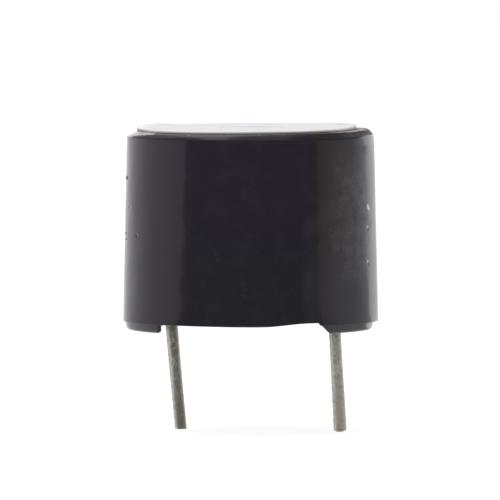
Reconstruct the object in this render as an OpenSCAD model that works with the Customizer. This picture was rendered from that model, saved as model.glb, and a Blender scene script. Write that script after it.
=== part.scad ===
// Through-hole piezo buzzer with a built-in drive circuit.
// The origin is on the case axis at the seating plane, where the feet meet the circuit board below.
// +Z points to the sound hole, and +X points to the positive pin.

/* [Case] */
// Outer diameter at the parting line
case_d = 12; // [11:0.1:15]
// Height of the top face above the seating plane
case_h = 9.34; // [8.6:0.02:12]
// Draft of the outer wall in degrees, each side
draft = 1.25; // [0:0.25:2.5]
// Radius of the rounded top edge
top_round = 0.4; // [0.1:0.05:0.6]
// Size of the small chamfer at the parting line
rim_chamfer = 0.05; // [0.02:0.01:0.1]
// Width of the step that the circuit board stops against
board_step = 0.18; // [0.14:0.02:0.3]
// Width of the ledge that the diaphragm stops against
plate_ledge = 0.65; // [0.4:0.05:0.9]
// Depth of the resonant cavity above the diaphragm
cavity_h = 1; // [0.6:0.1:1.4]
// Thickness of the top wall
top_t = 0.9; // [0.6:0.1:1.2]
// Diameter of the sound hole
sound_hole_d = 2; // [1:0.1:3]

/* [Feet] */
// Height of the two feet, from the seating plane to the parting line
foot_h = 0.4; // [0.3:0.05:0.5]
// Step back of the feet from the wall at the parting line
foot_step = 0.13; // [0.05:0.01:0.25]
// How much the feet narrow on each side, from the parting line to the seating plane
foot_taper = 0.09; // [0:0.01:0.15]
// Size of the chamfer along the lower edge of the feet
foot_chamfer = 0.06; // [0.03:0.01:0.12]
// Offset of the feet from the case axis, where the two mould halves don't quite meet
mould_shift = 0.07; // [0:0.01:0.1]
// Distance from the case axis to the upright end of the negative foot
channel_left = 3.9; // [3.8:0.02:4.3]
// Distance from the case axis to the sloped end of the positive foot, at the seating plane
channel_right = 4.1; // [3.9:0.02:4.4]
// Width of the slope on the positive foot
ramp_w = 0.38; // [0.2:0.02:0.5]
// Height of the channel roof beside the negative foot
roof_low = 0.37; // [0.3:0.01:0.42]
// Height of the channel roof beside the positive foot
roof_high = 0.52; // [0.43:0.01:0.53]

/* [Label] */
// Diameter of the wash label
label_d = 10.3; // [9:0.1:10.8]
// Thickness of the wash label
label_t = 0.15; // [0.05:0.05:0.2]
// Offset of the wash label towards the negative side
label_shift = 0.18; // [0:0.01:0.2]

/* [Pins] */
// Wire diameter of the pins
pin_d = 0.56; // [0.5:0.02:0.7]
// Distance between the pins where they leave the potting
pin_pitch = 7.7; // [7.5:0.05:7.8]
// Offset of both pins towards the positive side
pin_shift = 0.11; // [0:0.01:0.15]
// Length of the negative pin below the seating plane
negative_pin_l = 4.76; // [3:0.02:8]
// Length of the positive pin below the seating plane
positive_pin_l = 4.85; // [3:0.01:8]
// Lean of the negative pin in degrees
negative_lean_deg = 5.1; // [1:0.1:6]
// Lean of the positive pin in degrees
positive_lean_deg = 3.1; // [1:0.1:6]
// Bend radius of the pins at the seating plane
pin_bend_r = 2; // [1.5:0.1:2.5]
// Size of the chamfer on the cut end of the negative pin
negative_tip = 0.03; // [0.01:0.01:0.1]
// Radius of the round on the end of the positive pin
positive_tip = 0.2; // [0.05:0.01:0.25]
// Height of the pins above the circuit board
pin_stub = 0.5; // [0.3:0.05:0.8]

/* [Potting] */
// Height of the potting surface above the seating plane
potting_z = 0.55; // [0.55:0.01:0.7]
// Depth of the potting below the circuit board
potting_h = 1.6; // [1:0.1:2]
// Radius of the climb of potting round each pin
climb_r = 0.8; // [0.6:0.05:0.8]
// Thickness of the potting film on the pins
film_t = 0.02; // [0.01:0.01:0.04]
// How far the film runs below the seating plane on the negative pin
negative_film = 0.1; // [0.05:0.01:0.3]
// How far the film runs below the seating plane on the positive pin
positive_film = 0.4; // [0.1:0.01:0.5]

/* [Sounder] */
// Diameter of the brass diaphragm
plate_d = 9.1; // [8.8:0.1:9.8]
// Radial clearance of the diaphragm in its chamber
plate_gap = 0.08; // [0.05:0.01:0.12]
// Thickness of the brass diaphragm
plate_t = 0.1; // [0.05:0.05:0.2]
// Width of the bare brass between the piezo disc and the bond
brass_ring_w = 0.95; // [0.9:0.05:1.1]
// Thickness of the piezo disc
ceramic_t = 0.12; // [0.08:0.02:0.2]
// Width of the bare ceramic round the silver
silver_margin = 0.2; // [0.1:0.05:0.3]
// Thickness of the silver layer
electrode_t = 0.03; // [0.02:0.01:0.04]
// Width of the feedback electrode
tongue_w = 1.3; // [1.1:0.1:1.6]
// Length of the feedback electrode from the rim of the silver
tongue_l = 2.2; // [1.8:0.1:2.6]
// Gap between the two electrodes
tongue_gap = 0.25; // [0.15:0.05:0.35]
// Width of the silicone bond under the edge of the diaphragm
bond_w = 0.4; // [0.25:0.05:0.45]
// Height of the silicone bond
bond_h = 0.45; // [0.3:0.05:0.6]

/* [Leads] */
// Diameter of the insulated leads
lead_d = 0.32; // [0.24:0.02:0.36]
// Sideways slack of the leads
lead_slack = 0.5; // [0:0.1:0.7]
// Base diameter of the solder joints on the leads
joint_d = 0.8; // [0.7:0.05:0.9]
// Height of the solder joints on the leads
joint_h = 0.22; // [0.16:0.02:0.3]
// Distance from the rim of the silver to the joint on the feedback electrode
joint_inset = 0.3; // [0.2:0.05:0.4]

/* [Circuit board] */
// Radial clearance of the circuit board in its bore
board_gap = 0.1; // [0.05:0.01:0.15]
// Thickness of the circuit board
board_t = 0.8; // [0.6:0.1:1]
// Thickness of the copper tracks
track_t = 0.04; // [0.03:0.01:0.06]
// Width of the copper tracks
track_w = 0.3; // [0.2:0.05:0.35]
// How far a copper pad reaches past what is soldered to it
pad_margin = 0.1; // [0.05:0.01:0.12]
// Radial clearance round the pins in the circuit board
pin_hole_gap = 0.07; // [0.04:0.01:0.1]
// Diameter of the copper pads round the pins
pin_pad_d = 1.2; // [1:0.05:1.25]
// Clearance between those pads and the chamber wall
pad_gap = 0.085; // [0.05:0.005:0.12]
// Height of the solder on the pins
pin_solder_h = 0.4; // [0.25:0.05:0.45]
// How much wider than its wire a solder joint is at its top
solder_lip = 0.1; // [0.05:0.01:0.15]

/* [Components] */
// Length of the transistor body
transistor_l = 2.9; // [2.7:0.1:3]
// Width of the transistor body
transistor_w = 1.3; // [1.2:0.1:1.4]
// Height of the transistor body
transistor_h = 0.95; // [0.8:0.05:1.1]
// Width of the transistor legs
leg_w = 0.4; // [0.3:0.05:0.5]
// Thickness of the transistor legs
leg_t = 0.12; // [0.1:0.02:0.16]
// Reach of the transistor legs beyond the body
leg_reach = 0.55; // [0.45:0.05:0.65]
// Length of each leg that lies flat on its pad
leg_foot_l = 0.5; // [0.4:0.05:0.55]
// Distance between the two legs on the same side
leg_pitch = 1.9; // [1.7:0.05:2]
// Length of the chip resistors
resistor_l = 1.6; // [1.5:0.05:1.7]
// Width of the chip resistors
resistor_w = 0.8; // [0.7:0.05:0.85]
// Height of the chip resistors
resistor_h = 0.45; // [0.35:0.05:0.55]
// Length of the metal end caps on the resistors
cap_l = 0.3; // [0.2:0.05:0.4]
// How far the end caps stand proud of the resistor body
cap_t = 0.03; // [0.02:0.01:0.05]

/* [Hidden] */
$fn = 64;
eps = 0.5; // how far cutting shapes run past the surface they cut

// Pins
negative_x = pin_shift - pin_pitch / 2;
positive_x = pin_shift + pin_pitch / 2;

// Case radii. The diaphragm goes in through the chamber, which also clears the pads of the pins
case_r = case_d / 2;
top_r = case_r - (case_h - foot_h) * tan(draft);
seat_r = plate_d / 2 + plate_gap;
cavity_r = seat_r - plate_ledge;
chamber_r = max(seat_r, positive_x + pin_pad_d / 2 + pad_gap);
bore_r = chamber_r + board_step;
foot_top_r = case_r - foot_step;
foot_low_r = foot_top_r - foot_taper;

// Piezo disc and its silver
ceramic_d = plate_d - 2 * (bond_w + brass_ring_w);
electrode_d = ceramic_d - 2 * silver_margin;

// Heights
board_z = potting_z + potting_h;
board_top_z = board_z + board_t;
track_top_z = board_top_z + track_t;
cavity_top_z = case_h - top_t;
ledge_z = cavity_top_z - cavity_h;
plate_z = ledge_z - plate_t;
disc_z = plate_z - ceramic_t;
silver_z = disc_z - electrode_t;
seat_z = plate_z - bond_h;
lead_low_z = track_top_z + joint_h;

// Places of the components on the circuit board, seen from above
transistor_at = [0, 0.8];
base_resistor_at = [2.45, 1.9];
collector_resistor_at = [1.75, -1.1];
feedback_resistor_at = [0.75, 3.1];
cap_x = (resistor_l - cap_l) / 2;
leg_y = transistor_w / 2 + leg_reach;
leg_pad_l = leg_foot_l + pad_margin;
collector_leg_at = transistor_at + [0, -leg_y];
base_leg_at = transistor_at + [leg_pitch / 2, leg_y];
emitter_leg_at = transistor_at + [-leg_pitch / 2, leg_y];

// Ends of the three leads, seen from above
main_disc_at = [-1.5, -0.9];
main_board_at = [-1.7, -1.6];
feedback_disc_at = [0, electrode_d / 2 - joint_inset - joint_d / 2];
feedback_board_at = [-1.1, 3.4];
plate_joint_r = (ceramic_d + brass_ring_w) / 2;
plate_joint_deg = 140;
plate_disc_at = plate_joint_r * [cos(plate_joint_deg), sin(plate_joint_deg)];
plate_board_at = [-2.9, 2.3];

// Outer outline of the case above the parting line, from the axis outwards
module wall_outline() {
    difference() {
        polygon([
            [0, foot_h], [case_r - rim_chamfer, foot_h], [case_r, foot_h + rim_chamfer],
            [top_r, case_h], [0, case_h]
        ]);
        top_edge_cut();
    }
}

// What the top round takes off the sharp top corner
module top_edge_cut() {
    centre = [top_r + top_round * tan(draft) - top_round / cos(draft), case_h - top_round];
    difference() {
        translate([centre[0], centre[1] + top_round * sin(draft)])
            square([top_round * 3, top_round * 3]);
        translate(centre) circle(top_round);
    }
}

// Outline of the foot ring, with a chamfer along its lower edge
module foot_outline() {
    polygon([
        [0, 0], [foot_low_r - foot_chamfer, 0], [foot_low_r, foot_chamfer],
        [foot_top_r, foot_h], [foot_top_r, foot_h + rim_chamfer], [0, foot_h + rim_chamfer]
    ]);
}

// The straight channel that parts the foot ring into two feet
module channel_cut() {
    translate([0, case_d, 0]) rotate([90, 0, 0]) linear_extrude(case_d * 2)
        polygon([
            [-channel_left, -eps], [-channel_left, roof_low],
            [channel_right - ramp_w, roof_high], [channel_right, 0], [channel_right, -eps]
        ]);
}

module case() {
    color("#26242a") difference() {
        union() {
            rotate_extrude() wall_outline();
            translate([-mould_shift, 0, 0]) rotate_extrude() foot_outline();
        }
        channel_cut();
        translate([0, 0, -eps]) cylinder(r = bore_r, h = board_top_z + eps);
        translate([0, 0, board_z]) cylinder(r = chamber_r, h = seat_z - board_z);
        translate([0, 0, board_z]) cylinder(r = seat_r, h = ledge_z - board_z);
        translate([0, 0, board_z]) cylinder(r = cavity_r, h = cavity_top_z - board_z);
        cylinder(d = sound_hole_d, h = case_h + eps);
    }
}

module wash_label() {
    color("#eef2f6") translate([-label_shift, 0, case_h]) cylinder(d = label_d, h = label_t);
}

module diaphragm() {
    color("#c9a24d") translate([0, 0, plate_z]) cylinder(d = plate_d, h = plate_t);
}

module piezo_disc() {
    color("#d8cfae") translate([0, 0, disc_z]) cylinder(d = ceramic_d, h = ceramic_t);
}

// Outline of the feedback electrode, grown by a margin on every side
module tongue(margin) {
    tip_y = electrode_d / 2 - tongue_l + tongue_w / 2;
    translate([0, tip_y]) circle(d = tongue_w + 2 * margin);
    translate([-tongue_w / 2 - margin, tip_y]) square([tongue_w + 2 * margin, tongue_l + margin]);
}

module main_electrode() {
    color("#d5d6d4") translate([0, 0, silver_z]) linear_extrude(electrode_t) difference() {
        circle(d = electrode_d);
        tongue(tongue_gap);
    }
}

module feedback_electrode() {
    color("#d5d6d4") translate([0, 0, silver_z]) linear_extrude(electrode_t) intersection() {
        circle(d = electrode_d);
        tongue(0);
    }
}

// Silicone that holds the edge of the diaphragm to the chamber wall and the ledge
module bond_ring() {
    plate_r = plate_d / 2;
    color("#e9e8e2") rotate_extrude() polygon([
        [plate_r - bond_w, plate_z], [plate_r, plate_z], [plate_r, ledge_z],
        [seat_r, ledge_z], [seat_r, seat_z]
    ]);
}

// One solder joint on a lead: wide on the surface, flat where the lead ends in it
module joint(at, z, up) {
    translate([at[0], at[1], z]) mirror([0, 0, up ? 0 : 1])
        cylinder(d1 = joint_d, d2 = lead_d + solder_lip, h = joint_h);
}

module main_disc_solder() { color("#b9bbbd") joint(main_disc_at, silver_z, false); }
module feedback_disc_solder() { color("#b9bbbd") joint(feedback_disc_at, silver_z, false); }
module plate_disc_solder() { color("#b9bbbd") joint(plate_disc_at, plate_z, false); }
module main_board_solder() { color("#b9bbbd") joint(main_board_at, track_top_z, true); }
module feedback_board_solder() { color("#b9bbbd") joint(feedback_board_at, track_top_z, true); }
module plate_board_solder() { color("#b9bbbd") joint(plate_board_at, track_top_z, true); }

// Point and direction of a lead at t from 0 to 1: upright at both ends, with a sideways bow between
function bezier(p, t) =
    pow(1 - t, 3) * p[0] + 3 * pow(1 - t, 2) * t * p[1] + 3 * (1 - t) * t * t * p[2] + pow(t, 3) * p[3];
function slope(p, t) =
    pow(1 - t, 2) * (p[1] - p[0]) + 2 * (1 - t) * t * (p[2] - p[1]) + t * t * (p[3] - p[2]);
function unit(v) = v / norm(v);
function bow(p, side, t) = bezier(p, t) + lead_slack * pow(sin(180 * t), 2) * side;
function bow_slope(p, side, t) = unit(3 * slope(p, t) + lead_slack * sin(360 * t) * PI * side);

// A lead as a round tube swept from its upper joint to its lower joint
module lead(upper, upper_z, lower, side) {
    rings = 18;
    sides = 8;
    drop = (upper_z - lead_low_z) / 3;
    p = [
        [upper[0], upper[1], upper_z], [upper[0], upper[1], upper_z - drop],
        [lower[0], lower[1], lead_low_z + drop], [lower[0], lower[1], lead_low_z]
    ];
    points = [
        for (i = [0 : rings]) let (
            t = i / rings,
            along = bow_slope(p, side, t),
            across = unit(cross(along, [0, 1, 0])),
            up = cross(across, along)
        ) for (k = [0 : sides - 1])
            bow(p, side, t) + lead_d / 2 * (cos(360 * k / sides) * across + sin(360 * k / sides) * up)
    ];
    skin = [
        for (i = [0 : rings - 1]) for (k = [0 : sides - 1]) let (
            a = i * sides + k,
            b = i * sides + (k + 1) % sides
        ) each [[a, b, b + sides], [a, b + sides, a + sides]]
    ];
    first = [for (k = [sides - 1 : -1 : 0]) k];
    last = [for (k = [0 : sides - 1]) rings * sides + k];
    polyhedron(points, concat([first], skin, [last]));
}

module main_lead() {
    color("#a8322c") lead(main_disc_at, silver_z - joint_h, main_board_at, [-1, 0, 0]);
}

module feedback_lead() {
    color("#2d4f9e") lead(feedback_disc_at, silver_z - joint_h, feedback_board_at, [0, 1, 0]);
}

module plate_lead() {
    color("#232323") lead(plate_disc_at, plate_z - joint_h, plate_board_at, [0.7, -0.7, 0]);
}

module circuit_board() {
    color("#2f6b45") difference() {
        translate([0, 0, board_z]) cylinder(r = bore_r - board_gap, h = board_t);
        for (x = [negative_x, positive_x])
            translate([x, 0, board_z - eps]) cylinder(d = pin_d + 2 * pin_hole_gap, h = board_t + 2 * eps);
    }
}

// A straight track with round ends
module track(a, b) {
    way = b - a;
    translate(a) rotate(atan2(way[1], way[0])) translate([0, -track_w / 2]) square([norm(way), track_w]);
    for (end = [a, b]) translate(end) circle(d = track_w);
}

module pad(at, size) {
    translate(at) square(size, center = true);
}

module resistor_pads(at) {
    size = [cap_l + 2 * pad_margin, resistor_w + pad_margin];
    for (side = [-1, 1]) pad(at + [side * cap_x, 0], size);
}

// Five nets: emitter to the negative pin, collector, base, feedback, and the supply from the positive pin
module copper_tracks() {
    end = [cap_x, 0];
    negative_at = [negative_x, 0];
    positive_at = [positive_x, 0];
    color("#b87333") translate([0, 0, board_top_z]) linear_extrude(track_t) difference() {
        union() {
            for (at = [negative_at, positive_at]) translate(at) circle(d = pin_pad_d);
            for (at = [main_board_at, feedback_board_at, plate_board_at])
                translate(at) circle(d = joint_d + 2 * pad_margin);
            for (at = [collector_leg_at, base_leg_at, emitter_leg_at])
                pad(at, [leg_w + 2 * pad_margin, leg_pad_l]);
            for (at = [base_resistor_at, collector_resistor_at, feedback_resistor_at]) resistor_pads(at);
            track(emitter_leg_at, plate_board_at);
            track(plate_board_at, negative_at);
            track(collector_leg_at, main_board_at);
            track(collector_leg_at, collector_resistor_at - end);
            track(collector_resistor_at + end, positive_at);
            track(base_leg_at, base_resistor_at - end);
            track(base_resistor_at + end, positive_at);
            track(base_leg_at, feedback_resistor_at + end);
            track(feedback_resistor_at - end, feedback_board_at);
        }
        for (at = [negative_at, positive_at]) translate(at) circle(d = pin_d + 2 * pin_hole_gap);
    }
}

module transistor_body() {
    color("#2b2b2d") translate([transistor_at[0], transistor_at[1], track_top_z + leg_t])
        translate([0, 0, transistor_h / 2]) cube([transistor_l, transistor_w, transistor_h], center = true);
}

// One leg: out of the body at mid height, down, and flat on its pad, whose centre is leg_reach out
module leg(out) {
    mid_z = leg_t + transistor_h / 2;
    heel = leg_reach - leg_foot_l / 2;
    toe = leg_reach + leg_foot_l / 2;
    translate([0, out * transistor_w / 2, track_top_z]) mirror([0, out < 0 ? 1 : 0, 0])
        rotate([90, 0, 90]) linear_extrude(leg_w, center = true) polygon([
            [0, mid_z], [0, mid_z + leg_t], [heel + leg_t, mid_z + leg_t], [heel + leg_t, leg_t],
            [toe, leg_t], [toe, 0], [heel, 0], [heel, mid_z]
        ]);
}

module transistor_legs() {
    color("#b9bbbd") translate([transistor_at[0], transistor_at[1], 0]) {
        leg(-1);
        for (side = [-1, 1]) translate([side * leg_pitch / 2, 0, 0]) leg(1);
    }
}

// A chip resistor, lying along X, with metal end caps
module chip_resistor(at) {
    color("#3a3a3c") translate([at[0], at[1], track_top_z]) {
        translate([0, 0, resistor_h / 2])
            cube([resistor_l - cap_l, resistor_w - 2 * cap_t, resistor_h - 2 * cap_t], center = true);
        for (side = [-1, 1]) translate([side * cap_x, 0, resistor_h / 2])
            cube([cap_l, resistor_w, resistor_h], center = true);
    }
}

module base_resistor() { chip_resistor(base_resistor_at); }
module collector_resistor() { chip_resistor(collector_resistor_at); }
module feedback_resistor() { chip_resistor(feedback_resistor_at); }

// Outline of the leaning length of a pin, from the seating plane down to its tip
module tip_outline(length, tip_r, round_tip) {
    r = pin_d / 2;
    if (round_tip) difference() {
        square([r, length]);
        translate([r - tip_r, length - tip_r]) difference() {
            square(tip_r * 2);
            circle(tip_r);
        }
    }
    else polygon([[0, 0], [r, 0], [r, length - tip_r], [r - tip_r, length], [0, length]]);
}

// A pin: upright through the board and the potting, a short bend, then a straight leaning length
module pin(x, lean, length, tip_r, round_tip) {
    bend_top_z = pin_bend_r * sin(lean);
    color("#a9a497") translate([x, 0, 0]) {
        translate([0, 0, bend_top_z])
            cylinder(d = pin_d, h = board_top_z + track_t + pin_stub - bend_top_z);
        translate([pin_bend_r, 0, bend_top_z]) rotate([90, 0, 0]) rotate(180)
            rotate_extrude(angle = lean) translate([pin_bend_r, 0]) circle(d = pin_d);
        translate([pin_bend_r * (1 - cos(lean)), 0, 0]) rotate([180, 0, 0]) rotate([0, lean, 0])
            rotate_extrude() tip_outline(length, tip_r, round_tip);
    }
}

module negative_pin() { pin(negative_x, negative_lean_deg, negative_pin_l, negative_tip, false); }
module positive_pin() { pin(positive_x, positive_lean_deg, positive_pin_l, positive_tip, true); }

// Solder round the stub of a pin, wide on its pad
module pin_solder(x) {
    color("#b9bbbd") translate([x, 0, track_top_z]) difference() {
        cylinder(d1 = pin_pad_d - pad_margin, d2 = pin_d + solder_lip, h = pin_solder_h);
        translate([0, 0, -eps]) cylinder(d = pin_d, h = pin_solder_h + 2 * eps);
    }
}

module negative_pin_solder() { pin_solder(negative_x); }
module positive_pin_solder() { pin_solder(positive_x); }

// Potting that climbs down a pin in a hollow curve and thins out to a film
module climb(x, film) {
    neck_r = pin_d / 2 + 2 * film_t;
    neck_z = potting_z * 0.1;
    hollow_r = (climb_r + 2 * neck_r) / 3;
    hollow_z = potting_z * 0.6;
    translate([x, 0, 0]) rotate_extrude() polygon([
        [0, potting_z + film_t], [climb_r, potting_z + film_t], [climb_r, potting_z],
        [hollow_r, hollow_z], [neck_r, neck_z], [pin_d / 2 + film_t, -film], [0, -film]
    ]);
}

module potting() {
    color("#1f1e20") difference() {
        union() {
            translate([0, 0, potting_z]) cylinder(r = bore_r, h = potting_h);
            climb(negative_x, negative_film);
            climb(positive_x, positive_film);
        }
        negative_pin();
        positive_pin();
    }
}

case();
wash_label();
diaphragm();
piezo_disc();
main_electrode();
feedback_electrode();
bond_ring();
main_lead();
feedback_lead();
plate_lead();
main_disc_solder();
feedback_disc_solder();
plate_disc_solder();
main_board_solder();
feedback_board_solder();
plate_board_solder();
circuit_board();
copper_tracks();
transistor_body();
transistor_legs();
base_resistor();
collector_resistor();
feedback_resistor();
negative_pin();
positive_pin();
negative_pin_solder();
positive_pin_solder();
potting();
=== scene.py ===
"""Looks of a through-hole piezo buzzer: a glossy black case, a white wash label and two leaning tinned pins.

Lengths are in millimetres until a mesh or a light is made. The front is at -Y, and the feet stand at z = 0.
"""

from math import acos, atan2, cos, degrees, hypot, pi, radians, sin, tan

import bpy
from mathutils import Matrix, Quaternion, Vector, noise


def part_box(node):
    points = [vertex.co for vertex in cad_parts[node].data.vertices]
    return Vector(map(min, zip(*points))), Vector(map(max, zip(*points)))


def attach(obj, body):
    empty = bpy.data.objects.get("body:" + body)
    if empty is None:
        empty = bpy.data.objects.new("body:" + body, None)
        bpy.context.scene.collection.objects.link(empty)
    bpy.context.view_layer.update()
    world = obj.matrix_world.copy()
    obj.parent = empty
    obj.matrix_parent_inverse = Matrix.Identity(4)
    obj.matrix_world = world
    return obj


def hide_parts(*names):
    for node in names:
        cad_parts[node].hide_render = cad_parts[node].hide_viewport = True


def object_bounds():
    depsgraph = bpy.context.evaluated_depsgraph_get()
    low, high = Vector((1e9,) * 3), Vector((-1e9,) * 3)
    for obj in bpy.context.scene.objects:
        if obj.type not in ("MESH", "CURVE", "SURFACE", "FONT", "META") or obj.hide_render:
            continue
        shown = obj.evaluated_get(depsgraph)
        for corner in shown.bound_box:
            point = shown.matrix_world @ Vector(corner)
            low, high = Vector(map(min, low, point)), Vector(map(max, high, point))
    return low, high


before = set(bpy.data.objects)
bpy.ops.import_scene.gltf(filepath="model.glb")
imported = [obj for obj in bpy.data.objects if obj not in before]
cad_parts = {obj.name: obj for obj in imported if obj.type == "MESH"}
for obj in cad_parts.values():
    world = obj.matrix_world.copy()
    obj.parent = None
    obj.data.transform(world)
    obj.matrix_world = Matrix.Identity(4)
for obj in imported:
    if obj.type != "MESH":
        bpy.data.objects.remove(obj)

MM = 0.001
cad_low, cad_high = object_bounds()


def node_box(name):
    """Lowest and highest corner of a CAD node, in millimetres."""
    return tuple(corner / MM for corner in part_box(name))


# ---- sizes, from the frame where it has them
case_high = node_box("case")[1]
label_low, label_high = node_box("wash_label")
plate_low, plate_high = node_box("diaphragm")
board_low, board_high = node_box("circuit_board")
potting_high = node_box("potting")[1]
negative_low, negative_high = node_box("negative_pin")
positive_low, positive_high = node_box("positive_pin")

CASE_R = case_high.x  # radius at the parting line
CASE_TOP = case_high.z
TOP_R = CASE_R - 0.197  # radius of the drafted wall at the top face
PARTING_Z = 0.4
PARTING_ROUND = 0.02
EDGE_LEFT = (0.50, 0.26, 1.0)  # width, height and squareness of the rounded top edge at the left
EDGE_RIGHT = (0.36, 0.40, 1.3)
EDGE_FRONT = (0.36, 0.28, 1.6)  # at the back too

FOOT_TOP_R = 5.85  # radius of the feet at the parting line
FOOT_LOW_R = 5.76  # and at their underside
FOOT_ROUND = 0.13
FOOT_BEVEL = 0.02
FOOT_OVERLAP = 0.14  # how far the feet reach up into the wall
FOOT_SHIFT = -0.07  # the mould halves don't quite meet
CHANNEL_LEFT = -3.92
CHANNEL_RIGHT = 4.1
RAMP_W = 0.44  # width of the slope at the right end of the channel
RAMP_LEFT = CHANNEL_RIGHT - RAMP_W
RAMP_LINE = 0.77  # share of that slope where it nears the parting line
ROOF_Z = 0.415  # channel roof beside the negative foot
ROOF_DIP, DIP_X = 0.02, (-3.0, 0.8)  # how much lower it gets, and where
ROOF_RISE, RISE_X = 0.145, (1.1, 3.3)  # and how much it rises towards the positive foot
STEP_W = 0.001  # half the width in which the rim steps up to that roof

BORE_R = potting_high.x
CHAMBER_R = BORE_R - 0.18  # above the ledge that the board rests on
SEAT_R = plate_high.x + 0.08  # round the diaphragm
SEAT_Z = plate_low.z - 0.45
CAVITY_R = SEAT_R - 0.65  # above the diaphragm
LEDGE_Z = plate_high.z
CAVITY_TOP = CASE_TOP - 0.9
HOLE_R = 1.0

LABEL_R = (label_high.x - label_low.x) / 2
LABEL_X = (label_high.x + label_low.x) / 2
LABEL_UNDER = (0.0, 0.96, 0.995)  # rings on the underside, as shares of the radius
LABEL_EDGE = ((1.0, 0.07), (0.998, 0.04), (0.992, 0.015), (0.982, 0.003))  # share of the radius, depth below the top
LABEL_FACE = (0.965, 0.9, 0.7, 0.4, 0.0)  # rings on the top face
LABEL_LIP = 0.02  # height of the lower corner
LABEL_RAGS = (0.0012, 5.0, 2.0)  # share of the radius, waves round the edge, place in the noise
LABEL_WAVES = (0.012, 0.35, 7.0)  # height, waves to the millimetre, place in the noise
LEFT_CURL, LEFT_CURL_X = 0.11, (-3.4, -5.2)
RIGHT_CURL, RIGHT_CURL_X = 0.09, (1.5, 4.9)
CURL_Y = (-3.0, 1.5)  # the curl grows from front to back
LEFT_FRONT_CURL = 0.3  # share of it at the front of the left end

PIN_R = 0.28
NEGATIVE_X = negative_low.x + PIN_R
POSITIVE_X = positive_low.x + PIN_R
NEGATIVE_LEAN = 5.1  # degrees
POSITIVE_LEAN = 3.1
NEGATIVE_RADII = (0.290, 0.275)  # at the seating plane and PIN_RUN below it
POSITIVE_RADII = (0.281, 0.302)
PIN_RUN = 5.0
PIN_BEND_R = 2.0
CUT_TIP = ((1.0, -0.05), (0.985, -0.022), (0.94, -0.006), (0.86, 0.0), (0.4, 0.003))  # share of radius, length on
ROUND_TIP = (0.62, 0.2)  # share of the radius that the rounding takes, and its length
ROUND_TIP_END = (0.2, 0.006)  # as in CUT_TIP
BEND_GAP = 0.2  # between the upright part and the bend
PIN_WOBBLE, WOBBLES, WOBBLE_Z = 0.010, 0.5, (0.6, -0.6)  # sideways, waves to the millimetre, where it sets in
PIN_DENTS = 0.012  # share of the radius
BROAD_DENTS, FINE_DENTS, FINE_SHARE = (2.2, 0.7), (6.0, 1.2), 0.6  # how close they are along and round the pin

POTTING_Z = 0.56
POTTING_WAVES = ((0.018, 0.8, 4.0), (0.006, 3.0, 9.0))  # as LABEL_WAVES
WALL_CLIMB, WALL_CLIMB_W = 0.07, 0.35
PIN_CLIMB_W, PIN_CLIMB_START = 0.55, 0.03  # its reach round a pin, and how far above the surface it starts
PIN_CLIMB_HOLLOW, PIN_CLIMB_PACE = 2.4, 0.8
NEGATIVE_CLIMB = (0.42, 0.32)  # heights where the climb and its thin film end
POSITIVE_CLIMB = (0.05, -0.10)
FILM, FILM_TAPER = 0.014, 0.01  # its thickness, and how much it loses to its end
FILM_LEAN, FILM_UNEVEN = 0.05, 0.03  # how much longer it is on the right, and how uneven its end

# Sides of the round meshes, and points along their stretches.
CASE_SIDES, FACE_CUTS, ROUND_CUTS, WALL_CUTS, PARTING_CUTS, RIM_CUTS = 360, 8, 15, 24, 4, 10
FOOT_CUTS, FOOT_ROUND_CUTS, LABEL_SIDES = 49, 7, 240
PIN_SIDES, UPRIGHT_CUTS, BEND_CUTS, LEAN_CUTS, TIP_CUTS = 40, 10, 6, 60, 9
POTTING_SIDES, POTTING_CUTS, CLIMB_SIDES, CLIMB_CUTS, FILM_CUTS = 160, 41, 48, 14, 6
FLOOR_SIDES, SHELL_SIDES = 64, 180

TOP_TILT = tan(radians(0.3))  # the top face rises towards +X
CORNER_RISE, CORNER_X = 0.06, (4.6, 5.7)  # how much further it stands up at its positive side
TILT_DEPTH = 2.5  # how far down the wall that rise fades out


def smooth(low, high, value):
    """0 below low, 1 above high, and a smooth step between."""
    t = min(1.0, max(0.0, (value - low) / (high - low)))
    return t * t * (3 - 2 * t)


def blend(low, high, share):
    return low + (high - low) * share


def spread(low, high, count):
    """Count values from low to high, both included."""
    return [blend(low, high, i / (count - 1)) for i in range(count)]


def circle(sides):
    """Angles round a full turn."""
    return [2 * pi * k / sides for k in range(sides)]


def quarter(count):
    """Angles from 0 to a right angle."""
    return spread(0.0, pi / 2, count)


def polar(radius, angle, z, centre_x=0.0):
    return (centre_x + radius * cos(angle), radius * sin(angle), z)


def ring(radius, z, sides, centre_x=0.0):
    return [polar(radius, angle, z, centre_x) for angle in circle(sides)]


def rumble(*place):
    """Smooth noise at a place given by three numbers."""
    return noise.noise(Vector(place))


def tilted(point):
    """Lifts a point with the slight rise of the top face."""
    x, y, z = point
    rise = x * TOP_TILT + CORNER_RISE * smooth(*CORNER_X, x)
    return (x, y, z + rise * smooth(CASE_TOP - TILT_DEPTH, CASE_TOP, z))


# ---- mesh helpers
def add_object(name, data):
    """A new object in the scene."""
    thing = bpy.data.objects.new(name, data)
    bpy.context.scene.collection.objects.link(thing)
    return thing


def mesh_object(name, shape, material):
    """A smooth-shaded object from (points in millimetres, faces)."""
    points, faces = shape
    mesh = bpy.data.meshes.new(name)
    mesh.from_pydata([Vector(p) * MM for p in points], [], faces)
    mesh.validate()
    mesh.materials.append(material)
    mesh.shade_smooth()
    return add_object(name, mesh)


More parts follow.
